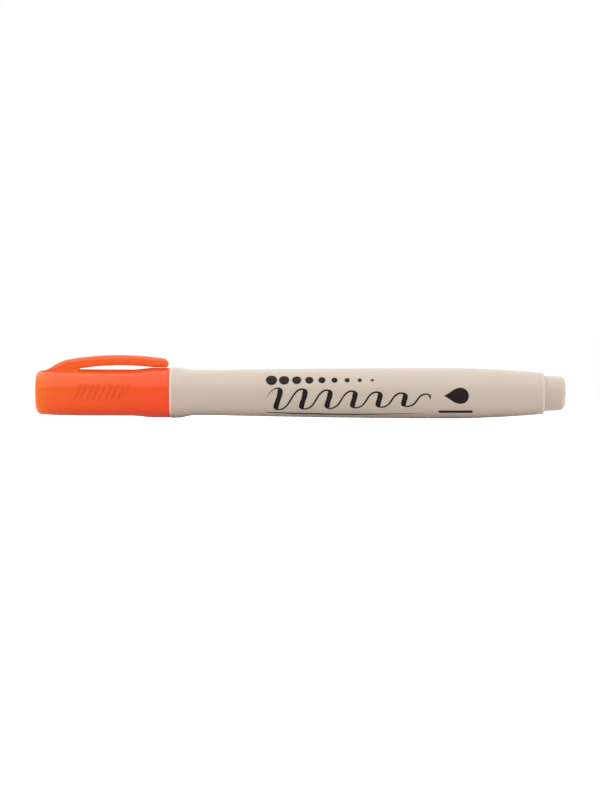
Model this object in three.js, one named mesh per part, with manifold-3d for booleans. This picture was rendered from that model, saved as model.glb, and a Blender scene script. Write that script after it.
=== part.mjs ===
// A capped brush pen: a beige barrel with a waist and a tapered tail, a fibre ink reservoir and a flexible
// brush nib inside, and an orange cap with a moulded pocket clip.
// Millimetres, +Z up. The pen lies along X with its cap towards -X and the clip on top. The origin is on the
// surface that the pen lies on, under the middle of its length.
import * as THREE from "three";
import { mergeVertices } from "three/addons/utils/BufferGeometryUtils.js";
import Module from "manifold-3d";

const wasm = await Module();
wasm.setup();

// ---- Driving dimensions ----

// Lengths along the pen.
const penLength = 141.5;
const capLength = 35.85;
const knobLength = 5.65; // the part of the tail plug that shows
const seamGap = 0.3; // between the cap's mouth and the barrel's collar

// Clearances.
const seat = 0.3; // between faces that rest on each other
const fit = 0.15; // radial, between a piece and the bore that it is pressed into
const slideFit = 0.2; // radial, between the neck and the cap
const beadFit = 0.05; // radial, at a snap bead or a seal

// Ink reservoir: a fibre bundle in a film sleeve.
const coreRadius = 4.0;
const filmGap = 0.08;
const filmWall = 0.15;

// Barrel. Its outside follows the bore by the wall thickness at four places.
const ribCount = 6;
const ribWidth = 0.7;
const ribHeight = 0.37; // the ribs hold the reservoir off the wall, so that air can pass
const waistWall = 1.3;
const bellyWall = 1.95;
const tailWall = 0.71;
const collarStep = 0.1; // the collar stands this much proud of the cap's mouth
const collarLength = 2.4;
const collarDraft = 0.08;
const shoulderLength = 4.0;
const waistLength = 7.4;
const tailLength = 26.5; // from the belly to the rear rim
const edgeRound = 0.3;

// Front section: nose, seal seat, neck for the cap, and a shank in the barrel.
const shankLength = 11;
const neckStep = 0.55; // the neck is wider than the shank, and its shoulder stops on the barrel
const coneLength = 1.8;
const sealLength = 4.2;
const sealRadius = 3.85;
const noseLength = 3.2;
const noseWall = 0.75;
const frontWall = 1.0;
const neckBead = 0.1;
const neckBeadWidth = 1.0;
const neckBeadPlace = 5.2; // from the barrel's face to the bead's middle
const guideWall = 0.7;
const guideLength = 6;

// Nib, nib holder and feed wick.
const nibLength = 9.5;
const nibRadius = 1.6;
const nibTipRadius = 0.25;
const nibBellyShare = 0.8; // where the nib is thickest, as a share of its length from the tip
const nibConeShare = 0.45; // how much of its taper is straight; the rest is rounded
const nibFootRadius = 1.4;
const nibShankRadius = 1.15;
const nibShankLength = 7.5;
const holderWall = 0.75;
const holderTail = 1.8; // the holder's length behind the nib's shank
const grooveCount = 3;
const grooveWidth = 0.6;
const grooveDepth = 0.3;
const wickRadius = 0.95;
const wickInReservoir = 6;

// Cap, and the sealing cup inside it.
const capEndWall = 1.2;
const capEndRound = 1.3;
const capEndDraft = 0.38; // the closed end is this much narrower than the body
const capTaperLength = 11.1;
const capBodyWall = 0.85;
const capMouthWall = 1.28;
const flareStart = 10.2; // from the mouth
const flareLength = 6;
const lipRound = 0.25;
const cupStep = 0.45; // the cup's pocket is this much narrower than the cap's bore
const cupWall = 0.75;
const cupEndWall = 0.7;
const cupFlange = 0.3;
const cupFlangeLength = 0.6;
const cupOverSeal = 3.6; // how far the cup reaches over the seal seat
const nibRoom = 5.6; // free length between the nib's tip and the cup's end

// Pocket clip.
const clipRootStart = 2.05;
const clipCorner = 7.2; // where the line of the ramp meets the line of its back
const clipBendIn = 1.5; // how far before the corner the bend starts
const clipBendOut = 2.9; // and how far behind it the bend ends
const clipGapStart = 11.1;
const clipSplit = 12.1; // where the free arm starts
const clipThickness = 2.65; // at the arm's middle
const clipHeelThickness = 2.75;
const clipPadThickness = 2.67;
const clipArch = 0.74; // the rise of the arm's underside over its ends
const clipHeelGap = 0.15; // between the arm's heel and the cap
const clipPadGap = 0.1; // between the pad under the tip and the cap
const clipPadLength = 2.85;
const clipTipInset = 0.3; // from the cap's mouth
const clipTopRound = 1.0;
const clipPadRound = 1.1;
const clipRootWidth = 4.8;
const clipTipWidth = 3.8;
const clipSunk = 0.6; // how deep the root reaches into the cap's wall

// Tail plug: a cup with cross fins that push on the reservoir.
const plugShankLength = 7.6;
const plugWall = 1.0;
const plugEndWall = 2.2;
const plugKnobStep = 0.1; // the knob is this much wider than the shank
const plugKnobDraft = 0.2;
const plugRound = 1.4;
const plugBeadPlace = 3;
const plugBeadWidth = 1.2;
const finWidth = 0.8;

// Faces round a turned piece: a multiple of four, so that flats face down, up and to both sides.
const outerSides = 36;
const innerSides = 24;

// ---- Sizes that follow ----

const filmInner = coreRadius + filmGap;
const filmOuter = filmInner + filmWall;
const boreRadius = filmOuter + fit + ribHeight;
const waistRadius = boreRadius + waistWall;
const bellyRadius = boreRadius + bellyWall;
const tailRadius = boreRadius + tailWall;
const shankRadius = boreRadius - fit;
const neckRadius = shankRadius + neckStep;
const capBore = neckRadius + slideFit;
const capBodyRadius = capBore + capBodyWall;
const capMouthRadius = capBore + capMouthWall;
const capEndRadius = capBodyRadius - capEndDraft;
const collarRadius = capMouthRadius + collarStep;
const cupPocket = capBore - cupStep;
const cupRadius = cupPocket - fit;
const cupInner = cupRadius - cupWall;

const shankBore = nibShankRadius + filmGap;
const holderRadius = shankBore + holderWall;
const holderBore = holderRadius + filmGap;
const noseRadius = holderBore + noseWall;
const wickBore = wickRadius + filmGap;

// Stations along the pen, from the cap's closed end.
const cupStart = capEndWall + seat;
const nibTip = cupStart + cupEndWall + nibRoom;
const nosePlane = nibTip + nibLength + seat;
const sealStart = nosePlane + noseLength;
const sealEnd = sealStart + sealLength;
const neckStart = sealEnd + coneLength;
const barrelFront = capLength + seamGap;
const neckEnd = barrelFront - seat;
const shankEnd = neckEnd + shankLength;
const cupEnd = sealStart + cupOverSeal;
const wickStart = nosePlane + nibShankLength + seat;
const holderLength = nibShankLength + holderTail;
const holderEnd = nosePlane + holderLength;
const reservoirStart = shankEnd + seat;
const barrelRear = penLength - knobLength;
const plugFront = barrelRear - plugShankLength;
const reservoirEnd = plugFront - seat;
const barrelLength = barrelRear - barrelFront;
const reservoirLength = reservoirEnd - reservoirStart;

// ---- Outlines and solids ----

const levelAtStart = (t) => t ** 2;
const levelAtEnd = (t) => 1 - (1 - t) ** 2;
const levelAtBoth = (t) => (1 - Math.cos(Math.PI * t)) / 2;

// The points of a curve from one [station, radius] to the next, without its first.
function curve([x0, r0], [x1, r1], shape, steps) {
  return Array.from({ length: steps }, (_, i) => {
    const t = (i + 1) / steps;
    return [x0 + (x1 - x0) * t, r0 + (r1 - r0) * shape(t)];
  });
}

// A quarter round from a face that is square to the axis to a side that runs along it, without its first
// point.
function quarterRound([x0, r0], [x1, r1], steps = 4) {
  return Array.from({ length: steps }, (_, i) => {
    const angle = ((i + 1) / steps) * (Math.PI / 2);
    return [x0 + (x1 - x0) * (1 - Math.cos(angle)), r0 + (r1 - r0) * Math.sin(angle)];
  });
}

// The same from a side to a square face.
function quarterRoundOff(from, to, steps = 4) {
  const back = [to, ...quarterRound(to, from, steps)].reverse();
  return back.slice(1);
}

// A low bead on a side: four points round its middle station.
function bead(middle, radius, height, width) {
  return [
    [middle - width / 2, radius],
    [middle - width / 4, radius + height],
    [middle + width / 4, radius + height],
    [middle + width / 2, radius],
  ];
}

// A solid turned about X from [station, radius] points that start and end on the axis.
function turned(outline, sides) {
  const points = outline.map(([station, radius]) => new THREE.Vector2(radius, station));
  const halfFace = Math.PI / sides;
  return new THREE.LatheGeometry(points, sides, halfFace).rotateZ(-Math.PI / 2);
}

// A turned solid with a hole through it, whose outline closes on itself.
function turnedRing(outline, sides) {
  return turned([...outline, outline[0]], sides);
}

function solidOf(geometry) {
  const bare = geometry.clone().deleteAttribute("normal").deleteAttribute("uv");
  const merged = mergeVertices(bare, 1e-4);
  return new wasm.Manifold(
    new wasm.Mesh({
      numProp: 3,
      vertProperties: merged.attributes.position.array,
      triVerts: new Uint32Array(merged.index.array),
    }),
  );
}

function geometryOf(solid) {
  const mesh = solid.getMesh();
  const geometry = new THREE.BufferGeometry();
  geometry.setAttribute("position", new THREE.BufferAttribute(mesh.vertProperties, 3));
  geometry.setIndex(new THREE.BufferAttribute(mesh.triVerts, 1));
  geometry.computeVertexNormals();
  return geometry;
}

// A box along X from one station to another, centred on the axis.
function bar(from, to, width, height) {
  return new THREE.BoxGeometry(to - from, width, height).translate((from + to) / 2, 0, 0);
}

// An outline in the plane of X and Z, extruded evenly to both sides of that plane.
function extrudedAcross(shape, width, curveSegments) {
  const options = { depth: width, bevelEnabled: false, curveSegments };
  return new THREE.ExtrudeGeometry(shape, options).translate(0, 0, -width / 2).rotateX(Math.PI / 2);
}

// ---- Materials ----

const material = (color, roughness, opacity = 1) =>
  new THREE.MeshStandardMaterial({ color, roughness, metalness: 0, opacity, transparent: opacity < 1 });
const orangePlastic = material(0xf0642e, 0.3);
const beigePlastic = material(0xd8cab8, 0.4);
const naturalPlastic = material(0xe9e6df, 0.45);
const inkedFelt = material(0xe8531c, 0.9);
const inkedFibre = material(0xea6a35, 0.95);
const clearFilm = material(0xf4f1ea, 0.2, 0.5);

// A named mesh whose geometry starts at its own zero station.
function piece(name, geometry, finish, station) {
  const mesh = new THREE.Mesh(geometry, finish);
  mesh.name = name;
  mesh.position.x = station;
  return mesh;
}

// ---- Barrel ----

// One moulding: collar, shoulder, waist, belly and tail outside, and a plain bore with reservoir ribs inside.
function barrel() {
  const collarEnd = [collarLength, collarRadius - collarDraft];
  const waistStart = [collarLength + shoulderLength, waistRadius];
  const waistEnd = [waistStart[0] + waistLength, waistRadius];
  const belly = [barrelLength - tailLength, bellyRadius];
  const rim = [barrelLength - edgeRound, tailRadius];
  const tube = turnedRing(
    [
      [0, collarRadius - edgeRound],
      ...quarterRound([0, collarRadius - edgeRound], [edgeRound, collarRadius], 2),
      collarEnd,
      ...curve(collarEnd, waistStart, levelAtBoth, 6),
      waistEnd,
      ...curve(waistEnd, belly, levelAtEnd, 7),
      ...curve(belly, rim, levelAtStart, 8),
      ...quarterRoundOff(rim, [barrelLength, tailRadius - edgeRound], 2),
      [barrelLength, boreRadius],
      [0, boreRadius],
    ],
    outerSides,
  );
  const ribFrom = reservoirStart - barrelFront;
  const ribTo = plugFront - seat - barrelFront;
  const ribRoot = boreRadius + waistWall / 2;
  const ribTop = boreRadius - ribHeight;
  let solid = solidOf(tube);
  for (let i = 0; i < ribCount; i++) {
    const rib = bar(ribFrom, ribTo, ribWidth, ribRoot - ribTop)
      .translate(0, 0, (ribRoot + ribTop) / 2)
      .rotateX((i / ribCount) * 2 * Math.PI);
    solid = solid.add(solidOf(rib));
  }
  return piece("barrel", geometryOf(solid), beigePlastic, barrelFront);
}

// ---- Front section ----

// The fore barrel: a rounded nose, the seat that the sealing cup closes on, and the neck under the cap. Its
// shank is pressed into the barrel. Inside are the nib holder's bore and a guide tube for the wick.
function frontSection() {
  const nose = [0, noseRadius];
  const seal = [sealStart - nosePlane, sealRadius];
  const sealBack = [sealEnd - nosePlane, sealRadius];
  const neck = [neckStart - nosePlane, neckRadius];
  const neckBack = neckEnd - nosePlane;
  const rear = shankEnd - nosePlane;
  const holderFloor = holderEnd + seat - nosePlane;
  const cavityFloor = holderFloor + frontWall;
  const cavityRadius = shankRadius - frontWall;
  const guideRadius = wickBore + guideWall;
  const guideEnd = cavityFloor + guideLength;
  const geometry = turnedRing(
    [
      [0, noseRadius - edgeRound],
      ...quarterRound([0, noseRadius - edgeRound], [edgeRound, nose[1]], 2),
      ...curve([edgeRound, noseRadius], seal, levelAtEnd, 4),
      sealBack,
      ...curve(sealBack, neck, levelAtBoth, 4),
      ...bead(neckBack - neckBeadPlace, neckRadius, neckBead, neckBeadWidth),
      [neckBack, neckRadius],
      [neckBack, shankRadius],
      [rear - edgeRound, shankRadius],
      [rear, shankRadius - edgeRound],
      [rear, cavityRadius],
      [cavityFloor, cavityRadius],
      [cavityFloor, guideRadius],
      [guideEnd, guideRadius],
      [guideEnd, wickBore],
      [holderFloor, wickBore],
      [holderFloor, holderBore],
      [0, holderBore],
    ],
    outerSides,
  );
  return piece("front_section", geometry, beigePlastic, nosePlane);
}

// A sleeve in the nose with grooves along its outside, through which air replaces the ink.
function nibHolder() {
  const sleeve = turnedRing(
    [
      [0, holderRadius],
      [holderLength - edgeRound, holderRadius],
      [holderLength, holderRadius - edgeRound],
      [holderLength, wickBore],
      [nibShankLength + seat, wickBore],
      [nibShankLength + seat, shankBore],
      [0, shankBore],
    ],
    innerSides,
  );
  let solid = solidOf(sleeve);
  const grooveTop = holderRadius + grooveDepth;
  const grooveFloor = holderRadius - grooveDepth;
  for (let i = 0; i < grooveCount; i++) {
    const groove = bar(-seat, holderLength + seat, grooveWidth, grooveTop - grooveFloor)
      .translate(0, 0, (grooveTop + grooveFloor) / 2)
      .rotateX((i / grooveCount) * 2 * Math.PI);
    solid = solid.subtract(solidOf(groove));
  }
  return piece("nib_holder", geometryOf(solid), naturalPlastic, nosePlane);
}

// The flexible brush tip with its straight shank in the holder.
function brushNib() {
  const brushShape = (t) => nibConeShare * t + (1 - nibConeShare) * levelAtEnd(t);
  const tip = [nibTipRadius, nibTipRadius];
  const belly = [nibLength * nibBellyShare, nibRadius];
  const foot = [nibLength, nibFootRadius];
  const shankTo = nibLength + seat + nibShankLength;
  const geometry = turned(
    [
      [0, 0],
      ...quarterRound([0, 0], tip, 2),
      ...curve(tip, belly, brushShape, 6),
      ...curve(belly, foot, levelAtStart, 3),
      [nibLength, nibShankRadius],
      [shankTo - edgeRound, nibShankRadius],
      [shankTo, nibShankRadius - edgeRound],
      [shankTo, 0],
    ],
    innerSides,
  );
  return piece("brush_nib", geometry, inkedFelt, nibTip);
}

// The relay core that carries ink from the reservoir to the nib's shank.
function feedWick() {
  const length = reservoirStart + wickInReservoir - wickStart;
  const geometry = turned(
    [
      [0, 0],
      [0, wickRadius - edgeRound],
      [edgeRound, wickRadius],
      [length - edgeRound, wickRadius],
      [length, wickRadius - edgeRound],
      [length, 0],
    ],
    innerSides,
  );
  return piece("feed_wick", geometry, inkedFibre, wickStart);
}

// ---- Ink reservoir ----

// The fibre bundle, with a pocket in its front end for the wick.
function reservoirCore() {
  const geometry = turned(
    [
      [wickInReservoir + seat, 0],
      [wickInReservoir + seat, wickBore],
      [0, wickBore],
      [0, coreRadius],
      [reservoirLength, coreRadius],
      [reservoirLength, 0],
    ],
    innerSides,
  );
  return piece("reservoir_core", geometry, inkedFibre, reservoirStart);
}

// The film sleeve that keeps the ink in the bundle.
function reservoirFilm() {
  const geometry = turnedRing(
    [
      [0, filmInner],
      [0, filmOuter],
      [reservoirLength, filmOuter],
      [reservoirLength, filmInner],
    ],
    innerSides,
  );
  return piece("reservoir_film", geometry, clearFilm, reservoirStart);
}

// ---- Tail plug ----

// A cup pressed into the barrel's rear, open towards the reservoir, with cross fins and a solid knob outside.
function tailPlug() {
  const shankFront = 0;
  const shoulder = plugShankLength;
  const rear = plugShankLength + knobLength;
  const knobRadius = shankRadius + plugKnobStep;
  const knobEndRadius = knobRadius - plugKnobDraft;
  const cupRadiusInside = shankRadius - plugWall;
  const cupFloor = rear - plugEndWall;
  const body = turned(
    [
      [cupFloor, 0],
      [cupFloor, cupRadiusInside],
      [shankFront, cupRadiusInside],
      [shankFront, shankRadius - edgeRound],
      [shankFront + edgeRound, shankRadius],
      ...bead(shoulder - plugBeadPlace, shankRadius, fit - beadFit, plugBeadWidth),
      [shoulder - seat, shankRadius],
      [shoulder, knobRadius],
      [rear - plugRound, knobEndRadius],
      ...quarterRoundOff([rear - plugRound, knobEndRadius], [rear, knobEndRadius - plugRound], 5),
      [rear, 0],
    ],
    outerSides,
  );
  const finSpan = cupRadiusInside + shankRadius; // each fin ends inside the cup's wall
  let solid = solidOf(body);
  for (const angle of [0, Math.PI / 2]) {
    const fin = bar(shankFront, cupFloor + edgeRound, finSpan, finWidth).rotateX(angle);
    solid = solid.add(solidOf(fin));
  }
  return piece("tail_plug", geometryOf(solid), beigePlastic, plugFront);
}

// ---- Cap ----

// A shallow circular arch over the line from one point to another.
function archOver(start, end, rise) {
  const chord = end.clone().sub(start);
  const radius = (chord.lengthSq() / 4 + rise ** 2) / (2 * rise);
  const up = new THREE.Vector2(-chord.y, chord.x).normalize();
  const centre = start.clone().lerp(end, 0.5).addScaledVector(up, rise - radius);
  const angleAt = (station) => Math.acos((station - centre.x) / radius);
  const heightAt = (station) => centre.y + radius * Math.sin(angleAt(station));
  return { centre, radius, angleAt, heightAt };
}

// The clip seen from the side: a straight ramp up from the root's toe, a bend, an arched arm, and a flat pad
// under its tip. The root's bottom is sunk in the cap's wall.
function clipOutline() {
  const tip = capLength - clipTipInset;
  const padHeight = capMouthRadius + clipPadGap;
  const heel = new THREE.Vector2(clipGapStart, capBodyRadius + clipHeelGap);
  const pad = new THREE.Vector2(tip - clipPadRound - clipPadLength, padHeight);
  const under = archOver(heel, pad, clipArch);
  const heelTop = new THREE.Vector2(heel.x, heel.y + clipHeelThickness);
  const padTop = new THREE.Vector2(pad.x, pad.y + clipPadThickness);
  const overRise = clipArch + clipThickness - (clipHeelThickness + clipPadThickness) / 2;
  const over = archOver(heelTop, padTop, overRise);
  const bendEnd = clipCorner + clipBendOut;
  const bendAngle = over.angleAt(bendEnd);
  const toe = new THREE.Vector2(clipRootStart, capEndRadius - clipSunk);
  const cornerHeight = over.heightAt(bendEnd) + clipBendOut / Math.tan(bendAngle);
  const corner = new THREE.Vector2(clipCorner, cornerHeight);
  const bendStart = corner.clone().lerp(toe, clipBendIn / (clipCorner - clipRootStart));
  const middle = padHeight + clipPadThickness / 2;

  const shape = new THREE.Shape();
  shape.moveTo(toe.x, toe.y);
  shape.lineTo(bendStart.x, bendStart.y);
  shape.quadraticCurveTo(corner.x, corner.y, bendEnd, over.heightAt(bendEnd));
  const overEnd = over.angleAt(tip - clipTopRound);
  shape.absarc(over.centre.x, over.centre.y, over.radius, bendAngle, overEnd, true);
  shape.quadraticCurveTo(tip, over.heightAt(tip - clipTopRound), tip, middle);
  shape.quadraticCurveTo(tip, padHeight, tip - clipPadRound, padHeight);
  shape.lineTo(pad.x, pad.y);
  const [padAngle, heelAngle] = [under.angleAt(pad.x), under.angleAt(heel.x)];
  shape.absarc(under.centre.x, under.centre.y, under.radius, padAngle, heelAngle, false);
  shape.lineTo(clipGapStart, toe.y);
  shape.closePath();
  return shape;
}

// The clip seen from above: it narrows towards a round tip.
function clipPlan() {
  const tip = capLength - clipTipInset;
  const shape = new THREE.Shape();
  shape.moveTo(clipRootStart - seat, -clipRootWidth / 2);
  shape.lineTo(tip - clipTipWidth / 2, -clipTipWidth / 2);
  shape.absarc(tip - clipTipWidth / 2, 0, clipTipWidth / 2, -Math.PI / 2, Math.PI / 2, false);
  shape.lineTo(clipRootStart - seat, clipRootWidth / 2);
  shape.closePath();
  return shape;
}

// The whole clip as one solid, root and arm.
function clipSolid() {
  const height = 2 * (capMouthRadius + clipThickness + clipArch);
  const side = extrudedAcross(clipOutline(), 2 * clipRootWidth, 14);
  const options = { depth: height, bevelEnabled: false, curveSegments: 8 };
  const plan = new THREE.ExtrudeGeometry(clipPlan(), options);
  return solidOf(side).intersect(solidOf(plan));
}

// The outer cap with the clip's root. Its flared mouth slides on the neck, and its ledge seats the sealing
// cup.
function capShell() {
  const taperEnd = [capEndRound + capTaperLength, capBodyRadius];
  const flareFrom = [capLength - flareStart, capBodyRadius];
  const flareTo = [flareFrom[0] + flareLength, capMouthRadius];
  const ledge = cupEnd - cupFlangeLength - seat;
  const shell = turned(
    [
      [0, 0],
      [0, capEndRadius - capEndRound],
      ...quarterRound([0, capEndRadius - capEndRound], [capEndRound, capEndRadius], 5),
      ...curve([capEndRound, capEndRadius], taperEnd, levelAtEnd, 4),
      flareFrom,
      ...curve(flareFrom, flareTo, levelAtBoth, 6),
      [capLength - lipRound, capMouthRadius],
      ...quarterRoundOff([capLength - lipRound, capMouthRadius], [capLength, capMouthRadius - lipRound], 2),
      [capLength, capBore + lipRound],
      [capLength - lipRound, capBore],
      [ledge, capBore],
      [ledge, cupPocket],
      [capEndWall, cupPocket],
      [capEndWall, 0],
    ],
    outerSides,
  );
  const root = clipSolid().trimByPlane([-1, 0, 0], seat / 2 - clipSplit);
  return piece("cap_shell", geometryOf(solidOf(shell).add(root)), orangePlastic, 0);
}

// The clip's free arm, from just past its root to the tip.
function pocketClip() {
  const arm = clipSolid().trimByPlane([1, 0, 0], clipSplit + seat / 2);
  return piece("pocket_clip", geometryOf(arm), orangePlastic, 0);
}

// The sealing cup inside the cap: it closes on the seal seat, so that the nib doesn't dry.
function innerCap() {
  const length = cupEnd - cupStart;
  const geometry = turned(
    [
      [0, 0],
      [0, cupRadius - edgeRound],
      [edgeRound, cupRadius],
      [length - cupFlangeLength, cupRadius],
      [length - cupFlangeLength, cupRadius + cupFlange],
      [length, cupRadius + cupFlange],
      [length, cupInner + edgeRound],
      [length - edgeRound, cupInner],
      ...bead(length - cupOverSeal / 2, cupInner, sealRadius + beadFit - cupInner, neckBeadWidth).reverse(),
      [cupEndWall + edgeRound, cupInner],
      [cupEndWall, cupInner - edgeRound],
      [cupEndWall, 0],
    ],
    outerSides,
  );
  return piece("inner_cap", geometry, naturalPlastic, cupStart);
}

// ---- Assembly ----

const cap = new THREE.Group();
cap.add(capShell(), innerCap(), pocketClip());

const pen = new THREE.Group();
pen.add(barrel(), frontSection(), nibHolder(), brushNib());
pen.add(feedWick(), reservoirCore(), reservoirFilm(), tailPlug());

const widestRadius = Math.max(collarRadius, bellyRadius);
const axisHeight = widestRadius * Math.cos(Math.PI / outerSides);
const brushPen = new THREE.Group();
brushPen.add(cap, pen);
brushPen.position.set(-penLength / 2, 0, axisHeight);

export default brushPen;
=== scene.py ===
import math

import bmesh
import bpy
from mathutils import Matrix, Vector


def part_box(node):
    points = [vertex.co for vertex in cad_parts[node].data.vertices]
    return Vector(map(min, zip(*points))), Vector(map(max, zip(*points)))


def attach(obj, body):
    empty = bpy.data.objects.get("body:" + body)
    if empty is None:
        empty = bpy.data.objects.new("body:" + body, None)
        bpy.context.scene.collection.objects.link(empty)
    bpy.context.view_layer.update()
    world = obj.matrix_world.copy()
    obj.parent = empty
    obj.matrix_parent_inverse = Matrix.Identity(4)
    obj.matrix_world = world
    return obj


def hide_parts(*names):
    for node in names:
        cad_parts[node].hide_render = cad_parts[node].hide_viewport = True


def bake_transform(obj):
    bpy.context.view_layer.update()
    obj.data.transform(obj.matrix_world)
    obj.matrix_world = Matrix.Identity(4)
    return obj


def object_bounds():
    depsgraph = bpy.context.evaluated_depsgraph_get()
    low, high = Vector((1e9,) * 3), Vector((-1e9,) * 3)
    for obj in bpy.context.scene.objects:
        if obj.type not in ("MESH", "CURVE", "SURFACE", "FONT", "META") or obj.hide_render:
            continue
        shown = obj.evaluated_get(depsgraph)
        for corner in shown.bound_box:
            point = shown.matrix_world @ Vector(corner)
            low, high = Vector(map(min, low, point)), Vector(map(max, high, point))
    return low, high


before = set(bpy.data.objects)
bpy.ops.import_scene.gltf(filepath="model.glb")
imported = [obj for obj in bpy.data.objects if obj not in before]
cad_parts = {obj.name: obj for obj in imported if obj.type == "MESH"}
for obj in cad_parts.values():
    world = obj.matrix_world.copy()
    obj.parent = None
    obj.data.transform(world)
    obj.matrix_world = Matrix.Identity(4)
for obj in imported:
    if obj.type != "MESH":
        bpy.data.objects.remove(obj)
cad_low, cad_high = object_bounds()

# ---- Barrel ----
# One injection moulding in beige polypropylene: a collar that the cap closes against, a waist for the
# fingers, a long belly and a tapered tail with an open rear end. Ribs in its bore hold the reservoir.

MM = 0.001
FACET = math.cos(math.pi / 36)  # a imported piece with 36 sides is this much narrower over its flats
SHARP = math.radians(32)  # an edge that turns more than this is shaded as a crease
WELD = 1e-4  # in millimetres, as every shape is until piece() puts it on the pen
barrel_low, barrel_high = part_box("barrel")
axis_height = (barrel_low.z + barrel_high.z) / 2
on_pen = Matrix.Translation((cad_low.x, 0, axis_height)) @ Matrix.Scale(MM, 4)


def ends(node):
    """A node's first and last station: millimetres from the cap's closed end."""
    low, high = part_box(node)
    return (low.x - cad_low.x) / MM, (high.x - cad_low.x) / MM


def reach(node):
    """The largest radius of a turned node with 36 sides, in millimetres."""
    low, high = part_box(node)
    return (high.y - low.y) / 2 / MM / FACET


def on_ring(vertex, station, radius):
    """Whether a vertex of a turned shape lies on the ring at a station and radius."""
    offset = math.hypot(vertex.co.y, vertex.co.z) - radius
    return math.hypot(vertex.co.x - station, offset) < 10 * WELD


def turned(corners, sides=128):
    """A shape turned about the pen's axis from (station, radius) corners; a third number rounds a corner."""
    shape = bmesh.new()
    points = [shape.verts.new((corner[0], 0, corner[1])) for corner in corners]
    on_axis = corners[0][1] == 0
    line = points if on_axis else points + points[:1]
    edges = [shape.edges.new(pair) for pair in zip(line, line[1:])]
    bmesh.ops.spin(shape, geom=points + edges, cent=(0, 0, 0), axis=(1, 0, 0), angle=math.tau,
                   steps=sides, use_merge=True)
    bmesh.ops.remove_doubles(shape, verts=shape.verts, dist=WELD)
    bmesh.ops.recalc_face_normals(shape, faces=shape.faces)
    for station, radius, rounding in [corner for corner in corners if len(corner) == 3]:
        ring = [edge for edge in shape.edges if all(on_ring(v, station, radius) for v in edge.verts)]
        bmesh.ops.bevel(shape, geom=ring, offset=rounding, segments=6, profile=0.5, affect="EDGES",
                        clamp_overlap=True, material=-1)
    return shape


def piece(name, shape, finish, body=None):
    """Places a shape on the pen and makes it a smooth piece that rides on a body."""
    for face in shape.faces:
        face.smooth = True
    for edge in shape.edges:
        edge.smooth = edge.calc_face_angle(math.pi) < SHARP
    bmesh.ops.transform(shape, matrix=on_pen, verts=shape.verts)
    mesh = bpy.data.meshes.new(name)
    shape.to_mesh(mesh)
    shape.free()
    mesh.materials.append(finish.material)
    made = bpy.data.objects.new(name, mesh)
    bpy.context.scene.collection.objects.link(made)
    made.modifiers.new("even shading", "WEIGHTED_NORMAL").keep_sharp = True
    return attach(made, body) if body else made


class Socket:
    """A value in a shader's nodes. Arithmetic on it adds Math nodes."""

    def __init__(self, nodes, output):
        self.nodes = nodes
        self.output = output

    def math(self, operation, *values):
        """The result of a Math node on some values."""
        return self.nodes.node("ShaderNodeMath", {"operation": operation}, dict(enumerate(values)))

    def __add__(self, other):
        return self.math("ADD", self, other)

    def __radd__(self, other):
        return self.math("ADD", other, self)

    def __sub__(self, other):
        return self.math("SUBTRACT", self, other)

    def __rsub__(self, other):
        return self.math("SUBTRACT", other, self)

    def __mul__(self, other):
        return self.math("MULTIPLY", self, other)

    def __rmul__(self, other):
        return self.math("MULTIPLY", other, self)


class Nodes:
    """The nodes of a material or of the world."""

    def __init__(self, owner):
        owner.use_nodes = True
        self.tree = owner.node_tree

    def node(self, kind, settings={}, values={}, output=0):
        """Adds a node with its settings and its inputs' values or links, and gives one of its outputs."""
        made = self.tree.nodes.new(kind)
        for setting, value in settings.items():
            setattr(made, setting, value)
        self.feed(made, values)
        return Socket(self, made.outputs[output])

    def feed(self, fed, values):
        """Sets or links the inputs of a node."""
        for name, value in values.items():
            if isinstance(value, Socket):
                self.tree.links.new(value.output, fed.inputs[name])
            else:
                fed.inputs[name].default_value = value

    def ramp(self, value, low, high):
        """0 below low, 1 above high, and smooth between."""
        settings = {"interpolation_type": "SMOOTHSTEP"}
        return self.node("ShaderNodeMapRange", settings, {"Value": value, "From Min": low, "From Max": high})

    def mixed(self, share, colour, other):
        """One colour where share is 0, another where it is 1."""
        settings = {"data_type": "RGBA"}
        return self.node("ShaderNodeMix", settings, {0: share, 6: colour, 7: other}, output=2)


class Finish(Nodes):
    """A material: its shader's constant values, and the nodes that vary it over a surface."""

    def __init__(self, name, constants):
        self.material = bpy.data.materials.new(name)
        super().__init__(self.material)
        self.shader = self.tree.nodes["Principled BSDF"]
        self.feed(self.shader, constants)
        self.place = self.node("ShaderNodeTexCoord", output="Object")

    def noise(self, grain, detail=2.0, stretch=(1, 1, 1)):
        """Noise with a grain of that many millimetres, stretched along the axes."""
        scale = [1 / (grain * MM * times) for times in stretch]
        place = self.node("ShaderNodeVectorMath", {"operation": "MULTIPLY"}, {0: self.place, 1: scale})
        return self.node("ShaderNodeTexNoise", {}, {"Vector": place, "Scale": 1.0, "Detail": detail})

    def along(self, start, end):
        """0 before one station, 1 after another, and smooth between."""
        x = self.node("ShaderNodeSeparateXYZ", {}, {0: self.place})
        return self.ramp(x, (on_pen @ Vector((start, 0, 0))).x, (on_pen @ Vector((end, 0, 0))).x)

    def bump(self, height, depth):
        """A normal for a relief that is depth millimetres high."""
        return self.node("ShaderNodeBump", {}, {"Height": height, "Distance": depth * MM, "Strength": 1.0})

    def vary(self, values):
        """Feeds the shader what changes over the surface."""
        self.feed(self.shader, values)


def tinted(colour, factor):
    """A colour made lighter or darker by a factor."""
    return [channel * factor for channel in colour[:3]] + [1]


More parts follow.
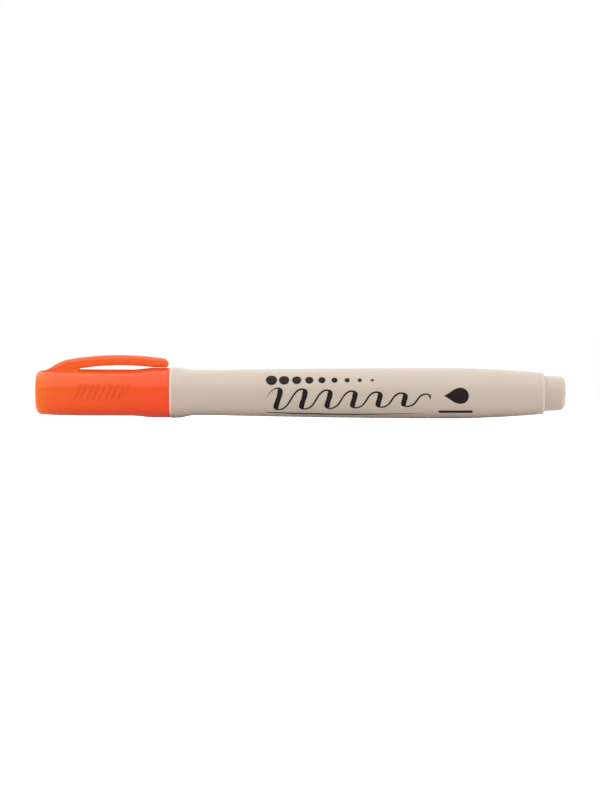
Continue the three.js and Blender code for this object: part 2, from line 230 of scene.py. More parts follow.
def moulded_plastic(name, colour, roughness, depth_of_light, painted_light_bands=(), sheen=0.28):
    """Plastic off a polished mould: clouded pigment, a soft waviness and hairlines from handling.

    Each painted light band is another colour that stands in for light or shade: the colour, the station where
    it is full and the station where it has gone.
    """
    finish = Finish(name, {"IOR": 1.49, "Subsurface Weight": 0.25, "Subsurface Scale": depth_of_light * MM,
                           "Specular IOR Level": sheen, "Coat Weight": 0.15, "Coat Roughness": 0.08})
    finish.shader.inputs["Subsurface Radius"].default_value = (1.0, 0.55, 0.35)
    cloud = finish.noise(grain=14)
    waves = finish.noise(grain=1.6, detail=1)
    peel = finish.noise(grain=0.12)
    lengthways = finish.ramp(finish.noise(grain=0.09, detail=1, stretch=(90, 1, 1)), 0.66, 0.74)
    crossways = finish.ramp(finish.noise(grain=0.11, detail=1, stretch=(1.4, 60, 60)), 0.68, 0.76)
    patches = finish.ramp(finish.noise(grain=7, detail=1), 0.42, 0.62)
    hairlines = (lengthways + crossways * 0.6) * patches
    shade = finish.mixed(cloud, tinted(colour, 0.96), tinted(colour, 1.04))
    # Painted light and shade: each band mixes a lighter or darker colour in along the pen.
    for other, full, gone in painted_light_bands:
        shade = finish.mixed(finish.along(full, gone), other, shade)
    relief = waves * 0.6 + peel * 0.12 - hairlines * 0.12
    finish.vary({
        "Base Color": shade,
        "Roughness": roughness + (cloud - 0.5) * 0.08 + (peel - 0.5) * 0.1 + hairlines * 0.1,
        "Normal": finish.bump(relief, depth=0.012),
    })
    return finish


barrel_front, barrel_rear = ends("cap_shell")[1], ends("barrel")[1]
collar_length = 2.4
shoulder_length = 4.0
waist_length = 7.4
tail_length = 26.5
collar_end = barrel_front + collar_length
shoulder_end = collar_end + shoulder_length
waist_end = shoulder_end + waist_length
belly_station = barrel_rear - tail_length
collar_radius = reach("barrel")
collar_draft = 0.08
waist_radius = 6.05
belly_radius = 6.7
tail_radius = 5.46
barrel_bore = 4.75
edge_length = 0.34
edge_step = 0.16
rear_round = 0.55


def eased(start, end, t):
    """From one value to another as t goes from 0 to 1, level at both ends."""
    return start + (end - start) * (1 - math.cos(math.pi * t)) / 2


def barrel_radius(station):
    """The barrel's outside at a station."""
    if station <= collar_end:
        return collar_radius - collar_draft * (station - barrel_front) / collar_length
    if station <= shoulder_end:
        return eased(collar_radius - collar_draft, waist_radius, (station - collar_end) / shoulder_length)
    if station <= waist_end:
        return waist_radius
    if station <= belly_station:
        t = (station - waist_end) / (belly_station - waist_end)
        return belly_radius - (belly_radius - waist_radius) * (1 - t) ** 2
    t = (station - belly_station) / tail_length
    return belly_radius - (belly_radius - tail_radius) * t**2


def steps_between(start, end, count):
    """Stations from one to another, with neither of the two."""
    return [start + (end - start) * (i + 1) / count for i in range(count - 1)]


last_station = barrel_rear - rear_round - 0.05
barrel_stations = [
    collar_end, *steps_between(collar_end, shoulder_end, 14),
    shoulder_end, *steps_between(shoulder_end, waist_end, 5),
    waist_end, *steps_between(waist_end, belly_station, 26),
    belly_station, *steps_between(belly_station, last_station, 20), last_station,
]
beige = (0.573, 0.482, 0.395, 1)
# Painted highlight: the front edge is painted a paler pink for the light its rounding catches and the orange
# cap's glow on it.
front_edge_highlight = ((0.86, 0.60, 0.52, 1), barrel_front + 0.25, barrel_front + 0.75)
# Painted highlight: the rear rim is painted paler for the light from the tail's side that catches it.
rear_rim_highlight = ((0.64, 0.54, 0.45, 1), barrel_rear - 0.1, barrel_rear - 1.2)
barrel_finish = moulded_plastic("beige moulding", beige, 0.36, 1.2, [front_edge_highlight, rear_rim_highlight])
barrel_shape = turned([
    (barrel_front, barrel_bore),
    (barrel_front, collar_radius - edge_step, 0.05),
    (barrel_front + edge_length, collar_radius - 0.01, 0.15),
    *[(station, barrel_radius(station)) for station in barrel_stations],
    (barrel_rear, tail_radius, rear_round),
    (barrel_rear, barrel_bore, 0.12),
])
core_front, core_rear = ends("reservoir_core")
rib_count = 6
rib_width = 0.7
rib_depth = 1.0
rib_height = 0.37  # the rest of its depth is sunk in the wall
rib_middle = ((core_front + core_rear) / 2, 0, barrel_bore + rib_depth / 2 - rib_height)
for turn in range(rib_count):
    rib = bmesh.ops.create_cube(barrel_shape, size=1)["verts"]
    bmesh.ops.scale(barrel_shape, verts=rib, vec=(core_rear - core_front, rib_width, rib_depth))
    bmesh.ops.translate(barrel_shape, verts=rib, vec=rib_middle)
    bmesh.ops.rotate(barrel_shape, verts=rib, matrix=Matrix.Rotation(math.tau * turn / rib_count, 3, "X"))
barrel = piece("barrel_moulding", barrel_shape, barrel_finish, "pen")
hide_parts("barrel")

# ---- Ink reservoir ----
# A bundle of crimped polyester fibre, soaked with orange ink, in a heat-sealed sleeve of clear film. It is
# pushed in from the rear and held between the front section's shank and the tail plug's fins.

core_radius = 4.0
pocket_depth = 6.3
pocket_radius = 1.03


def bundled_fibre(name, colour, strand):
    """Fibres that run along the pen: streaks of lighter and darker strands, rough and without gloss."""
    finish = Finish(name, {"IOR": 1.4})
    strands = finish.noise(grain=strand, detail=3, stretch=(40, 1, 1))
    crimp = finish.noise(grain=strand * 6, stretch=(3, 1, 1))
    tone = strands * 0.75 + crimp * 0.25
    finish.vary({
        "Base Color": finish.mixed(finish.ramp(tone, 0.3, 0.7), tinted(colour, 0.72), tinted(colour, 1.18)),
        "Roughness": 0.75 + strands * 0.2,
        "Normal": finish.bump(tone, strand),
    })
    return finish


core_shape = turned([
    (core_front + pocket_depth, 0),
    (core_front + pocket_depth, pocket_radius),
    (core_front, pocket_radius, 0.15),
    (core_front, core_radius, 0.25),
    (core_rear, core_radius, 0.25),
    (core_rear, 0),
], 96)
core_finish = bundled_fibre("soaked bundle", (0.80, 0.22, 0.08), strand=0.06)
core = piece("reservoir_bundle", core_shape, core_finish, "pen")
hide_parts("reservoir_core")

film_facet = math.cos(math.pi / 24)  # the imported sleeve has 24 sides
film_radius = reach("reservoir_film") * FACET / film_facet
film_wall = 0.13
film_finish = Finish("clear film", {"Base Color": (0.93, 0.9, 0.85, 1), "Alpha": 0.35, "IOR": 1.5})
film_creases = film_finish.noise(grain=0.8, stretch=(12, 1, 1))
film_finish.vary({
    "Roughness": 0.1 + film_creases * 0.15,
    "Normal": film_finish.bump(film_creases, depth=0.03),
})
film_shape = turned([
    (core_front, film_radius - film_wall, 0.03),
    (core_front, film_radius, 0.05),
    (core_rear, film_radius, 0.05),
    (core_rear, film_radius - film_wall, 0.03),
], 96)
film = piece("reservoir_sleeve", film_shape, film_finish, "pen")
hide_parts("reservoir_film")

# ---- Tail plug ----
# A beige stopper pressed into the barrel's rear. Its knob shows; behind the barrel's rim it is a cup with
# two crossed fins that push on the reservoir. The mould's gate leaves a small dish in the middle of its end.

plug_front, plug_rear = ends("tail_plug")
plug_shank_radius = 4.6
plug_cup_radius = 3.6
plug_knob_radius = 4.7
plug_end_radius = 4.52
plug_round = 1.4
plug_end_wall = 2.2
plug_bead = 0.1
bead_middle = barrel_rear - 3.0
knob_start = barrel_rear + 0.3
knob_end = plug_rear - plug_round - 0.3
fin_thickness = 0.8
fin_width = 2 * plug_cup_radius + 0.8  # its edges are sunk in the cup's wall
fin_sink = 0.3  # and its rear end in the cup's floor
gate_dish = 1.1


def knob_radius(station):
    """The knob's outside at a station: it narrows a little from the barrel's rim to its end."""
    share = (station - barrel_rear) / (plug_rear - barrel_rear)
    return plug_knob_radius + (plug_end_radius - plug_knob_radius) * share


def gate_mark(end, inwards, depth, pip):
    """The dish in the middle of an end face, from the axis out: a pip left by the gate, a floor and a rim."""
    floor = end + inwards * depth
    return [
        (end + inwards * pip, 0),
        (end + inwards * pip, 0.36, 0.03),
        (floor, 0.42, 0.04),
        (floor, gate_dish - 0.14, 0.05),
        (end, gate_dish, 0.06),
    ]


plug_shape = turned([
    (plug_rear - plug_end_wall, 0),
    (plug_rear - plug_end_wall, plug_cup_radius),
    (plug_front, plug_cup_radius),
    (plug_front, plug_shank_radius, 0.25),
    (bead_middle - 0.6, plug_shank_radius),
    (bead_middle - 0.3, plug_shank_radius + plug_bead),
    (bead_middle + 0.3, plug_shank_radius + plug_bead),
    (bead_middle + 0.6, plug_shank_radius),
    (barrel_rear + 0.02, plug_knob_radius - 0.02),
    (knob_start, plug_knob_radius),
    *[(station, knob_radius(station)) for station in steps_between(knob_start, knob_end, 6)],
    (plug_rear - 0.08, plug_end_radius, plug_round),
    (plug_rear - 0.03, 2.0),
    *reversed(gate_mark(plug_rear, inwards=-1, depth=0.14, pip=0.05)),
])
fin_length = plug_rear - plug_end_wall + fin_sink - plug_front
for turn in range(2):
    fin = bmesh.ops.create_cube(plug_shape, size=1)["verts"]
    bmesh.ops.scale(plug_shape, verts=fin, vec=(fin_length, fin_width, fin_thickness))
    bmesh.ops.translate(plug_shape, verts=fin, vec=(plug_front + fin_length / 2, 0, 0))
    bmesh.ops.rotate(plug_shape, verts=fin, matrix=Matrix.Rotation(math.pi / 2 * turn, 3, "X"))
plug_finish = moulded_plastic("beige stopper", (0.565, 0.475, 0.395, 1), 0.3, 1.8)
plug = piece("tail_stopper", plug_shape, plug_finish, "pen")
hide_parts("tail_plug")

# ---- Front section ----
# The fore barrel that the cap hides: a rounded nose, the land that the sealing cup closes on, a wider neck
# with a snap bead, and a shank pressed into the barrel. The wick's guide tube stands inside it.

front_start, front_end = ends("front_section")
nose_length = 3.2
seal_length = 4.2
cone_length = 1.8
seal_end = front_start + nose_length + seal_length
neck_end = barrel_front - 0.02
neck_bead = 0.1
neck_radius = reach("front_section") - neck_bead
seal_radius = 3.85
nose_radius = 2.76
nose_round = 0.3
holder_bore = 2.06
shank_radius = 4.6
shank_wall = 1.0
bead_station = neck_end - 4.9
holder_floor = ends("nib_holder")[1] + 0.3
guide_radius = 1.73
guide_start = holder_floor + 1.0
guide_end = holder_floor + 7.0


def bead(station, radius, height, width):
    """A low snap bead: five corners round its middle."""
    half = width / 2
    return [
        (station - half, radius),
        (station - half * 0.55, radius + height * 0.75),
        (station, radius + height),
        (station + half * 0.55, radius + height * 0.75),
        (station + half, radius),
    ]


def nose(t):
    """A corner of the rounded nose, from its tip at 0 to the land at 1."""
    station = front_start + nose_round + (nose_length - nose_round) * t
    return station, nose_radius + (seal_radius - nose_radius) * (1 - (1 - t) ** 2)


def cone(t):
    """A corner of the cone, from the land at 0 to the neck at 1."""
    return seal_end + cone_length * t, eased(seal_radius, neck_radius, t)


front_shape = turned([
    (front_start, holder_bore, 0.1),
    (front_start, nose_radius, 0.28),
    *[nose(i / 8) for i in range(1, 9)],
    *[cone(i / 8) for i in range(9)],
    *bead(bead_station, neck_radius, neck_bead, width=1.0),
    (neck_end, neck_radius, 0.12),
    (neck_end, shank_radius),
    (front_end, shank_radius, 0.3),
    (front_end, shank_radius - shank_wall, 0.1),
    (guide_start, shank_radius - shank_wall),
    (guide_start, guide_radius),
    (guide_end, guide_radius, 0.1),
    (guide_end, pocket_radius, 0.1),
    (holder_floor, pocket_radius),
    (holder_floor, holder_bore),
])
front_finish = moulded_plastic("beige fore barrel", beige, 0.3, 1.2)
front = piece("fore_barrel", front_shape, front_finish, "pen")
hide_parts("front_section")

# ---- Feed wick ----
# A slim relay rod of bonded fibre: its front end meets the nib's shank and its rear end sits in the bundle.

wick_start, wick_end = ends("feed_wick")
wick_radius = 0.95
wick_shape = turned([
    (wick_start, 0),
    (wick_start, wick_radius, 0.2),
    (wick_end, wick_radius, 0.2),
    (wick_end, 0),
], 64)
wick_finish = bundled_fibre("relay fibre", (0.74, 0.18, 0.05), strand=0.035)
wick = piece("relay_rod", wick_shape, wick_finish, "pen")
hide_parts("feed_wick")

# ---- Nib holder ----
# A natural polyethylene sleeve in the nose that grips the nib's shank. Three grooves along its outside let
# air in as the ink leaves.

holder_start, holder_end = ends("nib_holder")
holder_radius = 1.98
groove_turn = math.tau / 3  # from one of the three grooves to the next
groove_width = 0.6
groove_depth = 0.3
groove_half_angle = math.asin(groove_width / 2 / holder_radius)
shank_bore = 1.23
natural_finish = moulded_plastic("natural plastic", (0.80, 0.76, 0.70, 1), 0.4, 2.5)
holder_shape = bmesh.new()
for radius in (holder_radius, shank_bore):
    bmesh.ops.create_circle(holder_shape, segments=96, radius=radius)
for vertex in holder_shape.verts:
    angle = math.atan2(vertex.co.y, vertex.co.x) % groove_turn
    if vertex.co.length > shank_bore + 0.1 and min(angle, groove_turn - angle) < groove_half_angle:
        vertex.co *= (holder_radius - groove_depth) / holder_radius
bmesh.ops.bridge_loops(holder_shape, edges=holder_shape.edges[:])
bmesh.ops.rotate(holder_shape, verts=holder_shape.verts, matrix=Matrix.Rotation(math.pi / 2, 3, "Y"))
bmesh.ops.translate(holder_shape, verts=holder_shape.verts, vec=(holder_start, 0, 0))
sleeve = bmesh.ops.extrude_face_region(holder_shape, geom=holder_shape.faces[:], use_keep_orig=True)["geom"]
sleeve_end = [item for item in sleeve if isinstance(item, bmesh.types.BMVert)]
bmesh.ops.translate(holder_shape, verts=sleeve_end, vec=(holder_end - holder_start, 0, 0))
bmesh.ops.recalc_face_normals(holder_shape, faces=holder_shape.faces)
holder = piece("nib_sleeve", holder_shape, natural_finish, "pen")
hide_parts("nib_holder")

# ---- Brush nib ----
# A pointed tip of bonded synthetic bristle, soaked with orange ink: it swells to its thickest just before
# the nose, and a straight shank holds it in the sleeve.

nib_tip, nib_end = ends("brush_nib")
foot_gap = 0.3  # from the nib's foot to the sleeve
nib_length = holder_start - foot_gap - nib_tip
nib_radius = 1.6
tip_radius = 0.22
belly_share = 0.8  # where the nib is thickest, as a share of its length
cone_share = 0.45  # how much of its taper is straight; the rest is rounded
foot_radius = 1.4
nib_shank_radius = 1.15


def nib_outline():
    """The brush's outside: a small rounded point, a swelling taper and a drawn-in foot."""
    corners = [(nib_tip, 0)]
    for angle in (i / 5 * math.pi / 2 for i in range(1, 6)):
        corners.append((nib_tip + tip_radius * (1 - math.cos(angle)), tip_radius * math.sin(angle)))
    taper_start, taper_end = nib_tip + tip_radius, nib_tip + nib_length * belly_share
    for t in (i / 24 for i in range(1, 25)):
        swell = cone_share * t + (1 - cone_share) * (1 - (1 - t) ** 2)
        radius = tip_radius + (nib_radius - tip_radius) * swell
        corners.append((taper_start + (taper_end - taper_start) * t, radius))
    for t in (i / 6 for i in range(1, 7)):
        radius = nib_radius + (foot_radius - nib_radius) * t**2
        corners.append((taper_end + (nib_tip + nib_length - taper_end) * t, radius))
    return corners


nib_foot = nib_tip + nib_length
nib_shape = turned([
    *nib_outline(),
    (nib_foot, nib_shank_radius),
    *[(station, nib_shank_radius) for station in steps_between(nib_foot, nib_end - 0.4, 8)],
    (nib_end, nib_shank_radius, 0.2),
    (nib_end, 0),
], 96)
nib_finish = bundled_fibre("soaked bristle", (0.83, 0.16, 0.03), strand=0.025)
nib = piece("brush_tip", nib_shape, nib_finish)
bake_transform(nib)
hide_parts("brush_nib")

# ---- Print on the barrel ----
# Plain marks screen-printed in black: a row of dots that shrink towards the tail, a painted wave with a long
# thin line under it, and a drop for the ink with a short bar. Nothing in it is lettering.

print_height = 0.025
print_depth = 0.035
ink = Finish("printed ink", {"Base Color": (0.005, 0.003, 0.002, 1), "Specular IOR Level": 0.15})
ink_grain = ink.noise(grain=0.12)
ink.vary({"Roughness": 0.5 + ink_grain * 0.16, "Normal": ink.bump(ink_grain, depth=0.004)})
print_shape = bmesh.new()


def printed(path, steps, rows=6):
    """Prints one mark: path turns a place along and across it into a station and a rise round the barrel."""
    before = set(print_shape.verts)
    bmesh.ops.create_grid(print_shape, x_segments=steps, y_segments=rows, size=1)
    for vertex in set(print_shape.verts) - before:
        station, rise = path((vertex.co.x + 1) / 2, vertex.co.y)
        radius = barrel_radius(station) + print_height
        angle = rise / barrel_radius(station)
        vertex.co = (station, -radius * math.cos(angle), radius * math.sin(angle))


def straight(start, length, rise, half):
    """A straight mark with round ends: a dot is as long as it is wide."""

    def path(u, side):
        along = length * (1 - math.cos(math.pi * u)) / 2
        inside = max(0.0, half - min(along, length - along))
        return start + along, rise + side * math.sqrt(half**2 - inside**2)

    return path


def stroke(centre, half_width):
    """A painted line along a centre line, as wide as half_width says at each place."""

    def path(u, side):
        (s0, v0), (s1, v1) = centre(u - 1e-4), centre(u + 1e-4)
        run = math.hypot(s1 - s0, v1 - v0)
        s, v = centre(u)
        half = half_width(u, (v1 - v0) / run) * side
        return s - (v1 - v0) / run * half, v + (s1 - s0) / run * half

    return path


print_start = barrel_front + 25.6
dot_count = 9
dot_pitch = 3.35
dot_rise = 3.6
first_dot = 3.0
last_dot = 0.8
for index in range(dot_count):
    dot = first_dot + (last_dot - first_dot) * index / (dot_count - 1)
    middle = print_start + 1.6 + dot_pitch * index
    printed(straight(middle - dot / 2, dot, dot_rise, dot / 2), 24, 8)

wave_length = 43.6
wave_count = 6.5
wave_rise = 3.2
wave_middle = -1.9
wave_roundness = 0.38
wave_lean = 0.45
thin_half = 0.22
thick_half = 0.5  # added to the thin one where the wave goes straight down
point_taper = 22  # the wave is at its full width a 22nd of its length from each end


def wave(u):
    """The painted wave's centre line: round tops and sides that lean forwards, calmer towards its end."""
    phase = u * wave_count * math.tau
    rise = wave_rise * (1 - 0.5 * u) * math.sin(phase)
    sway = wave_lean * rise - wave_roundness * math.sin(2 * phase)
    return print_start + wave_length * u + sway, wave_middle + rise


def wave_width(u, climb):
    """Half the painted wave's width: broad on its way down, thin on its way up, and pointed at its ends."""
    point = min(1.0, point_taper * u, point_taper * (1 - u))
    return max(0.03, point * (thin_half + thick_half * max(0.0, -climb) ** 2.5))


printed(stroke(wave, wave_width), 700)
swash_length = 42.0
swash_rise = -6.1
swash_sag = 0.7
swash_half = 0.3


def swash(u):
    """The long line's centre line."""
    return print_start + swash_length * u, swash_rise - swash_sag * math.sin(math.pi * u)


def swash_width(u, climb):
    """Half the long line's width, whichever way it climbs: it swells from a point and thins to one again."""
    return max(0.02, swash_half * math.sin(math.pi * min(1.0, max(0.0, u)) ** 0.6) ** 0.8)


printed(stroke(swash, swash_width), 200)
drop_start = print_start + 47.2
drop_length = 6.8
drop_half = 2.2
drop_rise = -0.7
bar_length = 9.2
bar_rise = -5.5
bar_half = 0.45


def drop(u, side):
    """A drop that lies with its point forwards: a taper, then a half circle."""
    along = drop_length * (1 - math.cos(math.pi * u)) / 2
    taper = drop_length - drop_half
    if along < taper:
        half = drop_half * math.sin(math.pi / 2 * along / taper) ** 1.5
    else:
        half = math.sqrt(max(0.0, drop_half**2 - (along - taper) ** 2))
    return drop_start + along, side * half + drop_rise


printed(drop, 72, 12)
printed(straight(drop_start - (bar_length - drop_length) / 2, bar_length, bar_rise, bar_half), 60)
bmesh.ops.remove_doubles(print_shape, verts=print_shape.verts, dist=WELD)
below = bmesh.ops.extrude_face_region(print_shape, geom=print_shape.faces[:], use_keep_orig=True)["geom"]
for vertex in [item for item in below if isinstance(item, bmesh.types.BMVert)]:
    shrink = 1 - print_depth / math.hypot(vertex.co.y, vertex.co.z)
    vertex.co = (vertex.co.x, vertex.co.y * shrink, vertex.co.z * shrink)
bmesh.ops.recalc_face_normals(print_shape, faces=print_shape.faces)
piece("barrel_print", print_shape, ink, "pen")

# ---- Sealing cup ----
# A milky polyethylene cup pressed into the cap. Its lip has a bead that closes on the fore barrel's land,
# and its flange sits on the cap's ledge, so that the nib doesn't dry.

cup_start, cup_end = ends("inner_cap")
cup_radius = 4.75
cup_inner = 4.0
cup_floor = cup_start + 0.7
cup_flange = cup_radius + 0.3
flange_start = cup_end - 0.6
lip_bead = seal_radius + 0.05 - cup_inner
cup_shape = turned([
    (cup_start, 0),
    (cup_start, cup_radius, 0.4),
    (flange_start, cup_radius),
    (flange_start, cup_flange, 0.1),
    (cup_end, cup_flange, 0.1),
    (cup_end, cup_inner, 0.25),
    *reversed(bead(cup_end - 1.8, cup_inner, lip_bead, width=1.2)),
    (cup_floor, cup_inner, 0.4),
    (cup_floor, 0),
])
cup = piece("sealing_cup", cup_shape, natural_finish, "cap")
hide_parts("inner_cap")

# ---- Cap ----
# The outer cap, one moulding with its clip in fluorescent orange polypropylene: a closed end with a soft
# corner, a low crown and a gate dish, a slightly tapered body and a flared mouth.

mouth_gap = 0.05
cap_mouth = barrel_front - mouth_gap
mouth_radius = reach("cap_shell")
mouth_wall = 1.28
body_wall = 0.85
cap_bore = mouth_radius - mouth_wall
cap_radius = cap_bore + body_wall
end_draft = 0.38
end_wall = 1.2
closed_radius = cap_radius - end_draft
ledge = cup_end - 0.9
ledge_step = 0.45
crown = 0.16
taper_length = 12.4
flare_start = cap_mouth - 10.2
flare_length = 6.0
flare_end = flare_start + flare_length


def cap_surface(station):
    """The cap's outside at a station, without its rounded corners."""
    if station < taper_length:
        return cap_radius - (cap_radius - closed_radius) * (1 - station / taper_length) ** 2
    if station <= flare_start:
        return cap_radius
    return eased(cap_radius, mouth_radius, min(1.0, (station - flare_start) / flare_length))


cap_stations = [
    *steps_between(1.6, taper_length, 8), taper_length,
    *steps_between(taper_length, flare_start, 4), flare_start,
    *steps_between(flare_start, flare_end, 14), flare_end, cap_mouth - 0.5,
]
orange = (0.885, 0.104, 0.010, 1)
# Painted light: the closed end is painted paler and yellower for the light that comes through its thin end.
painted_end_glow = (0.885, 0.152, 0.012, 1)
# Painted shade: the cap is painted a deeper red towards its mouth, where less light comes through it.
painted_mouth_shade = (0.885, 0.078, 0.009, 1)
painted_light_bands = [(painted_end_glow, 0.5, 6.0), (painted_mouth_shade, 34.0, 14.0)]
cap_finish = moulded_plastic("orange moulding", orange, 0.2, 1.6, painted_light_bands, sheen=0.16)
cap_shape = turned([
    *gate_mark(0, inwards=1, depth=0.16, pip=0.07),
    (crown * 0.3, 2.6),
    (crown * 0.65, 3.8),
    (crown, closed_radius, 1.35),
    *[(station, cap_surface(station)) for station in cap_stations],
    (cap_mouth, mouth_radius, 0.1),
    (cap_mouth, cap_bore, 0.25),
    (ledge, cap_bore),
    (ledge, cap_bore - ledge_step),
    (end_wall, cap_bore - ledge_step),
    (end_wall, 0),
])
cap = piece("cap_moulding", cap_shape, cap_finish, "cap")
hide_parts("cap_shell")

# ---- Grip ridges ----
# A row of low slanted ridges on the cap's side, where the thumb pulls it off. They are moulded with the cap
# in the same orange. Each starts as a flat bar with round ends and is then wrapped round the cap.

ridge_count = 9
ridge_pitch = 1.65
ridge_start = 10.9
ridge_middle = 0.2
ridge_width = 0.85
ridge_length = 4.8
ridge_height = 0.3
ridge_depth = 0.5  # from its top down into the cap's wall
ridge_lean = math.radians(28)
ridge_lift = ridge_height - ridge_depth / 2
ridges_shape = bmesh.new()


def round_off(edges, radius, segments):
    """Rounds some edges of the ridges."""
    bmesh.ops.bevel(ridges_shape, geom=edges, offset=radius, segments=segments, profile=0.5, affect="EDGES",
                    material=-1)


def upright(edge):
    """Whether an edge of a flat bar runs from its root to its top."""
    return abs(edge.verts[0].co.y - edge.verts[1].co.y) > 0.8 * ridge_depth


def on_top_rim(edge):
    """Whether an edge lies between a bar's top and one of its sides."""
    high = all(vertex.co.y < -0.48 * ridge_depth for vertex in edge.verts)
    return high and len({round(face.normal.y) for face in edge.link_faces}) > 1


for index in range(ridge_count):
    ridge = bmesh.ops.create_cube(ridges_shape, size=1)["verts"]
    bmesh.ops.scale(ridges_shape, verts=ridge, vec=(ridge_width, ridge_depth, ridge_length))
    bmesh.ops.rotate(ridges_shape, verts=ridge, matrix=Matrix.Rotation(ridge_lean, 3, "Y"))
    bmesh.ops.translate(ridges_shape, verts=ridge, vec=(ridge_start + ridge_pitch * index, 0, ridge_middle))
round_off([edge for edge in ridges_shape.edges if upright(edge)], radius=0.3, segments=5)
everything = ridges_shape.faces[:] + ridges_shape.edges[:] + ridges_shape.verts[:]
bmesh.ops.bisect_plane(ridges_shape, geom=everything, plane_co=(0, 0, 0), plane_no=(0, 0, 1))
round_off([edge for edge in ridges_shape.edges if on_top_rim(edge)], radius=0.1, segments=3)
for vertex in ridges_shape.verts:
    station, depth, rise = vertex.co
    radius = cap_surface(station) + ridge_lift - depth
    vertex.co = (station, -radius * math.cos(rise / cap_radius), radius * math.sin(rise / cap_radius))
piece("grip_ridges", ridges_shape, cap_finish, "cap")

# ---- Pocket clip ----
# The clip springs from a ramp on the cap's back, arches over the cap and comes down on a pad near the
# mouth. Its back is crowned, its edges are round, and a small fillet joins its root to the cap. Its orange
# is painted a little yellower than the cap's, as painted light for the light that comes through the thin
# clip.

clip_start = 1.8
clip_toe = 2.95
clip_corner = 7.2
bend_in = 1.5
bend_out = 2.9
clip_heel = 11.1
clip_tip = ends("pocket_clip")[1]
heel_height = cap_radius + 0.1
pad_height = mouth_radius + 0.13
pad_start = clip_tip - 3.95
under_rise = 0.76
heel_top = 9.24
pad_top = 9.5
over_rise = 0.65
root_half_width = 2.4
tip_half_width = 1.9
back_round = 1.3
back_crown = 0.04
under_round = 0.75
root_fillet = 0.22
toe_fillet = 0.2
slot_round = 0.3
free_start = clip_heel + 2 * slot_round
tip_top_round = 1.4
tip_under_round = 0.9


def arch(start, end, rise):
    """The height of a shallow circular arch over the line between two (station, height) points."""
    run, climb = end[0] - start[0], end[1] - start[1]
    chord = math.hypot(run, climb)
    radius = (chord**2 / 4 + rise**2) / (2 * rise)
    centre = (
        (start[0] + end[0]) / 2 - climb / chord * (rise - radius),
        (start[1] + end[1]) / 2 + run / chord * (rise - radius),
    )
    return lambda station: centre[1] + math.sqrt(radius**2 - (station - centre[0]) ** 2)


under_arch = arch((clip_heel, heel_height), (pad_start, pad_height), under_rise)
over_arch = arch((clip_heel, heel_top), (pad_start, pad_top), over_rise)
round_start = clip_tip - tip_half_width
arch_start = clip_corner + bend_out
arch_slope = (over_arch(arch_start + 0.01) - over_arch(arch_start)) / 0.01
corner_height = over_arch(arch_start) - arch_slope * bend_out
ramp_slope = (corner_height - cap_surface(clip_toe)) / (clip_corner - clip_toe)


def clip_back(station):
    """The height of the clip's back: a ramp with a small fillet at its toe, a bend, and the arch."""
    if station >= arch_start:
        return over_arch(station)
    ramp = corner_height + ramp_slope * (station - clip_corner)
    ramp_end = clip_corner - bend_in
    if station <= ramp_end:
        skin = cap_surface(station) - 0.07
        softness = toe_fillet * min(1.0, (ramp_end - station) / (ramp_end - clip_toe))
        return (ramp + skin + math.hypot(ramp - skin, softness)) / 2
    growth = bend_out - bend_in
    t = (math.sqrt(bend_in**2 + growth * (station - ramp_end)) - bend_in) / growth
    ramp_top = corner_height - ramp_slope * bend_in
    return (1 - t) ** 2 * ramp_top + 2 * t * (1 - t) * corner_height + t * t * over_arch(arch_start)


def clip_underside(station):
    """The height of the clip's underside: sunk in the cap at the root, then the arch and the pad."""
    if station >= pad_start:
        return pad_height
    if station >= clip_heel + slot_round:
        return under_arch(station)
    sunk = cap_radius - 0.9
    if station <= clip_heel:
        return sunk
    t = (station - clip_heel) / slot_round
    return sunk + (under_arch(station) - sunk) * math.sqrt(1 - (1 - t) ** 2)


def tip_corner(station, rounding):
    """How far a rounded corner of the clip's tip, seen from the side, has turned in at a station."""
    turned_in = max(0.0, rounding - (clip_tip - station))
    return rounding - math.sqrt(rounding**2 - turned_in**2)


def clip_section(station):
    """Half of the clip's outline at a station, from the middle of its underside to the middle of its back."""
    share = min(1.0, max(0.0, (station - clip_toe) / (clip_tip - clip_toe)))
    tip_share = max(0.0, (station - round_start) / tip_half_width)
    half = (root_half_width + (tip_half_width - root_half_width) * share) * math.sqrt(1 - tip_share**2)
    low = clip_underside(station) + tip_corner(station, tip_under_round)
    high = clip_back(station) - tip_corner(station, tip_top_round)
    depth = (high - low) / 2
    back = min(back_round, half * 0.8, depth * 0.95)
    edge = min(under_round, half * 0.6, depth * 0.7)
    root = 1 - min(1.0, max(0.0, (station - clip_heel) / (free_start - clip_heel)))
    skin = math.sqrt(cap_surface(station) ** 2 - half**2)
    fillet = min(root_fillet, max(0.03, (high - back - skin) * 0.7))
    points = [(0.0, low), (half * 0.25, low)]
    for angle in (i / 8 * math.pi / 2 for i in range(9)):
        turn_y = half - edge + edge * math.sin(angle)
        turn_z = low + edge * (1 - math.cos(angle))
        fillet_y = half + fillet * (1 - math.sin(angle))
        cap_z = math.sqrt(cap_surface(station) ** 2 - fillet_y**2)
        fillet_z = cap_z + fillet * (1 - math.cos(angle)) - 0.03 * math.cos(angle)
        points.append((turn_y + (fillet_y - turn_y) * root, turn_z + (fillet_z - turn_z) * root))
    for angle in (i / 10 * math.pi / 2 for i in range(11)):
        points.append((half - back + back * math.cos(angle), high - back + back * math.sin(angle)))
    points.append(((half - back) * 0.5, high + 0.75 * back_crown))
    points.append((0.0, high + back_crown))
    return points


